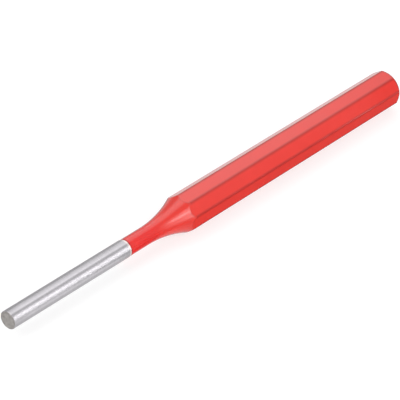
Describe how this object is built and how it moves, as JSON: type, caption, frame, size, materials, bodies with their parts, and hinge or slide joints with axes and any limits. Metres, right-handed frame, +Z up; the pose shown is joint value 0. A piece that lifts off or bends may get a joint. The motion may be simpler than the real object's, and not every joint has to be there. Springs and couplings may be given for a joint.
{
  "type": "pin punch",
  "caption": "Parallel pin punch: eight-sided red lacquered shank with a bevelled head, a hollow neck and a bare round pin.",
  "frame": {"origin": "on the surface that the punch lies on, halfway along its length, under its axis", "axes": "+X along the axis from the tip of the pin to the struck head, +Z up, out of the flat opposite the one it lies on"},
  "size_m": [0.15, 0.01, 0.01],
  "materials": {
    "steel": "bare tool steel, ground and lightly polished along the pin",
    "lacquer": "glossy red lacquer film"
  },
  "bodies": {
    "root": {"punch_steel": "steel", "lacquer_coat": "lacquer"}
  },
  "joints": []
}
